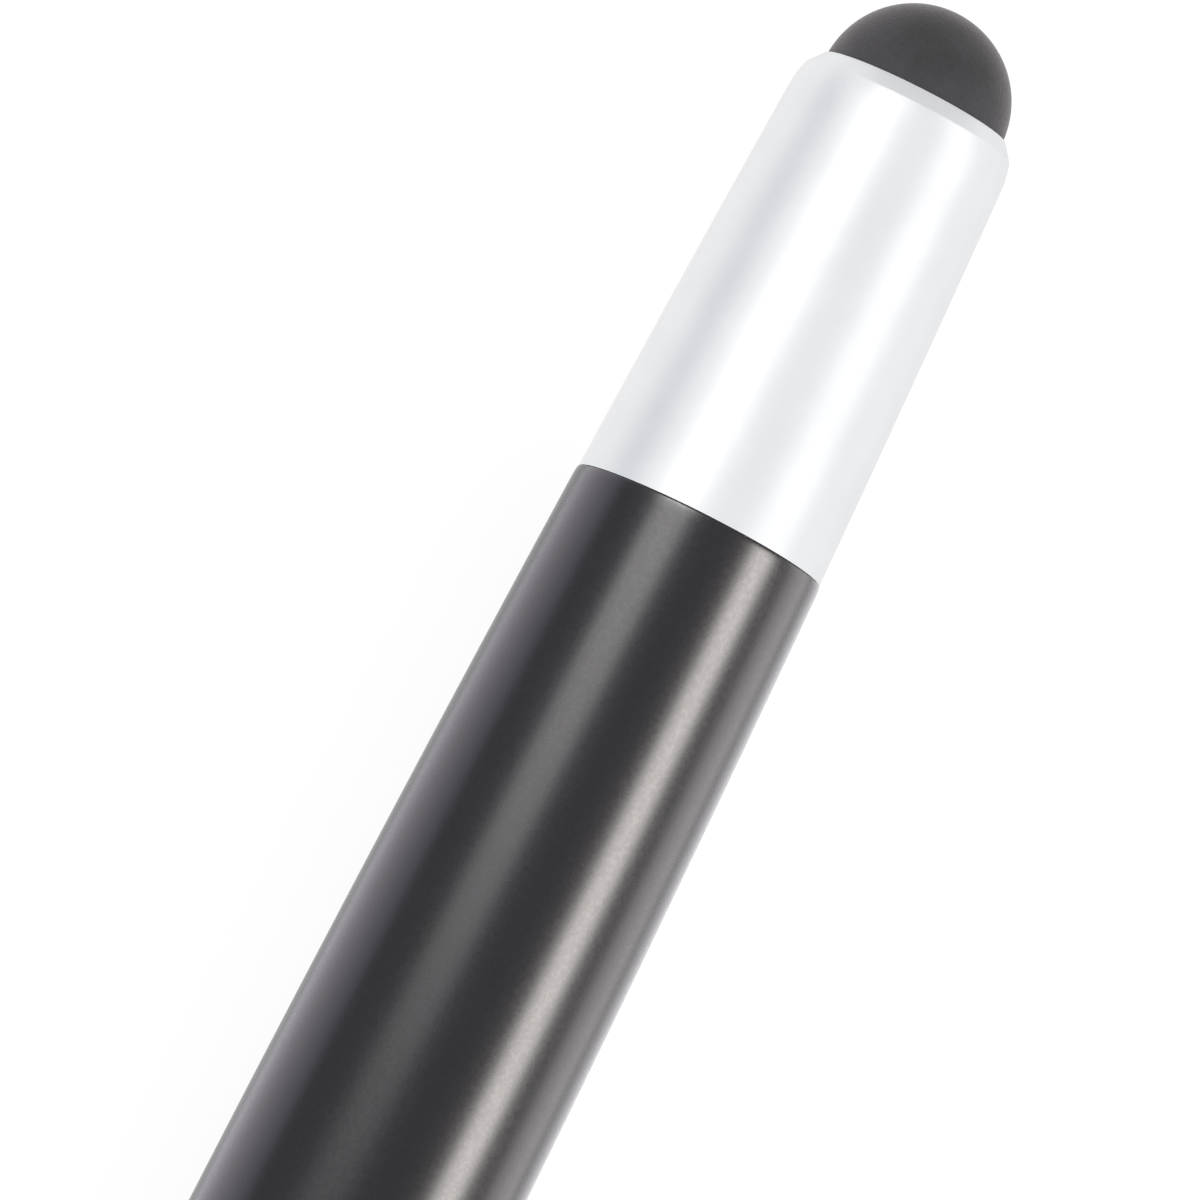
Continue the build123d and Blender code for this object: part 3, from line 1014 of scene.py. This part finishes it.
spindle = turned(
    "spindle_tube",
    soften(
        [(spindle_x0, spindle_bore, rim_edge), (spindle_x0, thread_radius, 0)]
        + sharp([(x, thread_radius) for x in steps(spindle_x0, flange_x0, thread_steps)[1:]])
        + [
            (flange_x0, spindle_flange_radius, spindle_edge),
            (flange_x1, spindle_flange_radius, spindle_edge),
            (flange_x1, spindle_radius, 0),
            (collar_x0, spindle_radius, 0),
            (collar_x0, collar_radius, spindle_edge),
            (collar_x1, collar_radius, spindle_edge),
            (collar_x1, spindle_radius, 0),
            (snap_x0, spindle_radius, 0),
            (snap_x0, snap_groove_radius, 0),
            (snap_x1, snap_groove_radius, 0),
            (snap_x1, spindle_radius, 0),
            (spindle_x1, spindle_radius, spindle_edge),
            (spindle_x1, spindle_bore, 0),
        ]
    ),
    segments_spindle,
    thread(spindle_x0, flange_x0, thread_radius, thread_depth),
)
cut(spindle, slot_cutter())
place(spindle, "twist_spindle", "spindle", dark_plastic)

# Bush that the spindle screws into
bush_radius = bush_seat_bore - seat_clearance
bush_bore = thread_radius + running_clearance
bush_thread_x1 = bush_x1 - bush_lead - bush_thread_gap
bush = turned(
    "threaded_bush",
    soften(
        [
            (bush_x0, bush_radius, rim_edge),
            (ring_x0, bush_radius, 0),
            (ring_x0, bush_collar_radius, 0),
            (bush_x1, bush_collar_radius, bore_edge),
            (bush_x1, bush_bore, bush_lead),
        ]
        + sharp([(x, bush_bore) for x in steps(bush_thread_x1, bush_x0, bush_steps)])
    ),
    segments_small,
    thread(bush_x0, bush_thread_x1, bush_bore, -bush_thread_depth),
)
place(bush, "lower_half", "lower_bush", brass)

# Refill point, a stepped cone with a socket for the ball
rim_radius = math.sqrt(ball_socket**2 - (ball_x - point_x0) ** 2)
rim_deg = math.degrees(math.acos((point_x0 - ball_x) / ball_socket))
shoulder_x = point_x1 - shank_length
point_groove_x0 = shoulder_x - point_groove_setback
point_groove_x1 = point_groove_x0 + point_groove_width
point_groove_radius = point_radius - point_groove_depth
refill_point = turned(
    "point_cone",
    arc(ball_x, ball_socket, 0, rim_deg, socket_steps)
    + soften(
        [
            (point_x0, rim_radius + socket_wall, 0),
            (ball_x + nib_length, nib_radius, bore_edge),
            (ball_x + neck_length, neck_radius, bore_edge),
            (ball_x + cone_length, point_radius, end_edge),
            (point_groove_x0, point_radius, seam_edge),
            (point_groove_x0, point_groove_radius, seam_edge),
            (point_groove_x1, point_groove_radius, seam_edge),
            (point_groove_x1, point_radius, seam_edge),
            (shoulder_x, point_radius, 0),
            (shoulder_x, shank_radius, 0),
            (point_x1, shank_radius, 0),
        ]
    )
    + [(point_x1, 0)],
    segments_small,
)
place(refill_point, "refill", "refill_tip", brass)

# Return spring with closed ends
spring_radius = spring_outer_radius - spring_wire_radius
spring_low = spring_x0 + spring_wire_radius
spring_high = spring_x1 - spring_wire_radius
closed_pitch = closed_pitch_share * 2 * spring_wire_radius


def spring_line():
    """Points along the coil, with a slower climb over the first and last turn."""
    open_turns = spring_turns - 2 * closed_turns
    open_length = spring_high - spring_low - 2 * closed_turns * closed_pitch
    points = []
    for turn in steps(0, spring_turns, spring_turns * spring_turn_steps):
        closed = min(turn, closed_turns) + max(0, turn - spring_turns + closed_turns)
        x = spring_low + closed * closed_pitch + open_length * (turn - closed) / open_turns
        angle = 2 * math.pi * turn
        points.append(Vector((x, spring_radius * math.cos(angle), spring_radius * math.sin(angle))))
    return points


def coil_spring():
    """Round wire along the coil."""
    line = spring_line()
    sections = []
    for i, spot in enumerate(line):
        along = heading(line, i)
        aside = along.cross(Vector((0, spot.y, spot.z))).normalized()
        outward = aside.cross(along).normalized()
        section = []
        for k in range(spring_sides):
            angle = 2 * math.pi * k / spring_sides
            spoke = outward * math.cos(angle) + aside * math.sin(angle)
            section.append(spot + spoke * spring_wire_radius)
        sections.append(section)
    return lofted("coil_spring", sections, coil_smooth_deg)


spring = coil_spring()
place(spring, "refill", "return_spring", steel)
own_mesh(spring)

# CAD nodes that stay in view
for node, material in {
    "tip_core": white_plastic,
    "ferrule_bush": brass,
    "ferrule_o_ring": seal,
    "cam_casing": white_plastic,
    "snap_ring": steel,
    "friction_washer": red_plastic,
    "pusher": white_plastic,
    "cam_pin": steel,
    "refill_tube": clear_plastic,
    "writing_ball": steel,
    "ink": ink_blue,
    "ink_follower": grease,
}.items():
    dress(node, material)

# Camera
camera_tilt = math.radians(tail_tilt_deg)
camera_rise = math.radians(camera_height_deg)
to_camera = Vector(
    (
        -math.sin(camera_tilt),
        math.cos(camera_tilt) * math.cos(camera_rise),
        math.cos(camera_tilt) * math.sin(camera_rise),
    )
)
view_along = (PEN_AXIS - PEN_AXIS.dot(to_camera) * to_camera).normalized()
view_aside = view_along.cross(to_camera)
view_right = axis_in_image.x * view_along + axis_in_image.y * view_aside
view_up = axis_in_image.y * view_along - axis_in_image.x * view_aside
middle_offset = (view_along * middle_pixels.x + view_aside * middle_pixels.y) / pixels_per_mm
view_target = (PEN_AXIS * ferrule_x1 + middle_offset) * MM
camera_data = bpy.data.cameras.new("camera")
camera_data.sensor_width = sensor_width
camera_data.lens = pixels_per_mm / MM * camera_distance * sensor_width / image_size
camera_data.clip_start = near_clip
camera_data.clip_end = far_clip
camera = bpy.data.objects.new("camera", camera_data)
camera_place = Matrix.Translation(view_target + to_camera * camera_distance)
camera.matrix_world = camera_place @ axes_turn(view_right, view_up, to_camera)
scene.collection.objects.link(camera)
scene.camera = camera


# Floor of white paper
def seen_directly(tree):
    """1 for the camera, mirror and glass rays, 0 for the rest."""
    rays = tree.nodes.new("ShaderNodeLightPath")
    seen = rays.outputs["Is Camera Ray"]
    for kind in ("Is Glossy Ray", "Is Transmission Ray"):
        either = tree.nodes.new("ShaderNodeMath")
        either.operation = "MAXIMUM"
        tree.links.new(seen, either.inputs[0])
        tree.links.new(rays.outputs[kind], either.inputs[1])
        seen = either.outputs[0]
    return seen


def paper_material():
    """Paper that lights the pen as white paper does and is seen as white, with the pen's shadow on it."""
    material, tree = bare_material("floor_paper")
    matte = add_node(tree, "ShaderNodeBsdfDiffuse", Color=paper_colour)
    faint = add_node(tree, "ShaderNodeBsdfDiffuse", Color=shadow_colour)
    glow = add_node(tree, "ShaderNodeEmission", Strength=paper_glow)
    seen = join(tree, "ShaderNodeAddShader", faint, glow)
    choice = join(tree, "ShaderNodeMixShader", matte, seen)
    tree.links.new(seen_directly(tree), choice.inputs["Fac"])
    tree.links.new(choice.outputs[0], tree.nodes["Material Output"].inputs["Surface"])
    return material


floor_sides = ((-1, -1), (1, -1), (1, 1), (-1, 1))
floor_corners = [(x * floor_reach, y * floor_reach, floor_z) for x, y in floor_sides]
floor_mesh = bpy.data.meshes.new("floor")
floor_mesh.from_pydata(floor_corners, [], [(0, 1, 2, 3)])
floor_mesh.materials.append(paper_material())
floor = bpy.data.objects.new("floor", floor_mesh)
scene.collection.objects.link(floor)


# World
def studio_world():
    """A white room, which the camera sees as plain white."""
    world = bpy.data.worlds.new("studio")
    world.use_nodes = True
    tree = world.node_tree
    room = tree.nodes["Background"]
    set_inputs(room, {"Color": room_colour, "Strength": room_strength})
    white = add_node(tree, "ShaderNodeBackground", Color=white_colour, Strength=white_strength)
    choice = join(tree, "ShaderNodeMixShader", room, white)
    rays = tree.nodes.new("ShaderNodeLightPath")
    tree.links.new(rays.outputs["Is Camera Ray"], choice.inputs["Fac"])
    tree.links.new(choice.outputs[0], tree.nodes["World Output"].inputs["Surface"])
    return world


scene.world = studio_world()


# Lamps
def light_group(name, state):
    """The black barrels, to be lit alone or left out, so that their strong lamps don't blind the metal."""
    group = bpy.data.collections.new(name)
    for piece in (upper, lower):
        group.objects.link(piece)
    for member in group.collection_objects:
        member.light_linking.link_state = state
    return group


def lamp(name, lit, round_deg, lean_deg, distance, wide_deg, long_deg, radiance, colour=full_light):
    """A soft box so many degrees round the pen from the camera, leaning so far towards the soft tip."""
    turn = math.radians(round_deg)
    lean = math.radians(lean_deg)
    facing = (to_camera - PEN_AXIS * to_camera.x).normalized()
    outward = facing * math.cos(turn) + view_aside * math.sin(turn)
    direction = outward * math.cos(lean) + PEN_AXIS * math.sin(lean)
    width = 2 * distance * math.tan(math.radians(wide_deg) / 2)
    length = 2 * distance * math.tan(math.radians(long_deg) / 2)
    data = bpy.data.lights.new(name, "AREA")
    data.shape = "RECTANGLE"
    data.size = length
    data.size_y = width
    data.energy = radiance * math.pi * length * width
    data.color = colour
    box = bpy.data.objects.new(name, data)
    long_way = (PEN_AXIS - direction * PEN_AXIS.dot(direction)).normalized()
    box_place = Matrix.Translation(PEN_AXIS * lit_x * MM + direction * distance)
    box.matrix_world = box_place @ axes_turn(long_way, direction.cross(long_way), direction)
    box.visible_camera = False
    box.light_linking.receiver_collection = lit
    scene.collection.objects.link(box)


barrels = light_group("dark_pieces", "INCLUDE")
all_but_barrels = light_group("bright_pieces", "EXCLUDE")
lamp(
    "front_box", barrels, round_deg=-26, lean_deg=20, distance=near_lamp,
    wide_deg=31, long_deg=32, radiance=10.4, colour=front_tint,
)
lamp(
    "front_core", barrels, round_deg=-26, lean_deg=31, distance=near_lamp,
    wide_deg=19, long_deg=14, radiance=17.5, colour=front_tint,
)
lamp(
    "key_strip", barrels, round_deg=62, lean_deg=5, distance=far_lamp,
    wide_deg=21, long_deg=30, radiance=25.4, colour=key_tint,
)
lamp(
    "rear_strip", barrels, round_deg=112, lean_deg=8, distance=far_lamp,
    wide_deg=30, long_deg=40, radiance=3.5, colour=rear_tint,
)
lamp(
    "front_fill", all_but_barrels, round_deg=-26, lean_deg=12, distance=far_lamp,
    wide_deg=40, long_deg=78, radiance=0.55,
)
lamp(
    "key_fill", all_but_barrels, round_deg=64, lean_deg=12, distance=far_lamp,
    wide_deg=36, long_deg=78, radiance=0.41,
)
lamp(
    "rear_fill", all_but_barrels, round_deg=118, lean_deg=12, distance=far_lamp,
    wide_deg=44, long_deg=78, radiance=0.08,
)


# Cards that only reflections see: glowing strips add light to the pen's reflections, and grey strips paint
# shade into them where the pen shades the floor
def unseen_card(name, corners, glow, passing, lit=None):
    """A thin card that only mirror rays see: it adds its glow to the light that it lets by."""
    mesh = bpy.data.meshes.new(name)
    spots = [[value * MM for value in corner] for corner in corners]
    mesh.from_pydata(spots, [], [range(len(spots))])
    card = bpy.data.objects.new(name, mesh)
    scene.collection.objects.link(card)
    card.visible_camera = False
    card.visible_diffuse = False
    card.visible_shadow = False
    if lit:
        card.light_linking.receiver_collection = lit
    material, tree = bare_material(name)
    light = add_node(tree, "ShaderNodeEmission", Color=(*glow, 1))
    window = add_node(tree, "ShaderNodeBsdfTransparent", Color=(*passing, 1))
    both = join(tree, "ShaderNodeAddShader", light, window)
    tree.links.new(both.outputs[0], tree.nodes["Material Output"].inputs["Surface"])
    mesh.materials.append(material)


def floor_strip(name, x_span, y_span, height, glow=no_light, passing=full_light, lit=None):
    """A card that lies so high over the floor, along the pen."""
    (x0, x1), (y0, y1) = x_span, y_span
    z = floor_z / MM + height
    unseen_card(name, [(x0, y0, z), (x1, y0, z), (x1, y1, z), (x0, y1, z)], glow, passing, lit)


floor_strip(
    "barrel_glow", x_span=short_run, y_span=(3.4, 11), height=low_card,
    glow=(1.55, 1.44, 1.68), lit=barrels,
)
floor_strip(
    "rear_glow", x_span=long_run, y_span=(-300, -10), height=low_card,
    glow=(1.0, 0.95, 1.0), lit=barrels,
)
floor_strip(
    "near_glow", x_span=short_run, y_span=(1.5, 6.5), height=middle_card,
    glow=(0.09, 0.09, 0.09), lit=all_but_barrels,
)
floor_strip(
    "far_glow", x_span=long_run, y_span=(19, 80), height=middle_card,
    glow=(0.08, 0.08, 0.08), lit=all_but_barrels,
)
floor_strip(
    "shade", x_span=short_run, y_span=(8, 16.5), height=high_card,
    passing=(0.82, 0.86, 0.91),
)
floor_strip(
    "rear_shade", x_span=short_run, y_span=(-15, -5), height=high_card,
    passing=(0.72, 0.745, 0.78),
)

# Grey disc beyond the soft tip and a grey apron on the floor in front of it, which only reflections see:
# painted shade that the rounded lip mirrors as a grey band
backdrop_angles = [2 * math.pi * k / backdrop_corners for k in range(backdrop_corners)]
apron_z = floor_z / MM + high_card
unseen_card(
    "grey_room",
    [
        (backdrop_x, backdrop_radius * math.cos(angle), backdrop_radius * math.sin(angle))
        for angle in backdrop_angles
    ],
    backdrop_glow,
    no_light,
)
unseen_card(
    "grey_floor",
    [
        (apron_x, -apron_half, apron_z),
        (backdrop_x, -backdrop_radius, apron_z),
        (backdrop_x, backdrop_radius, apron_z),
        (apron_x, apron_half, apron_z),
    ],
    no_light,
    apron_passing,
)
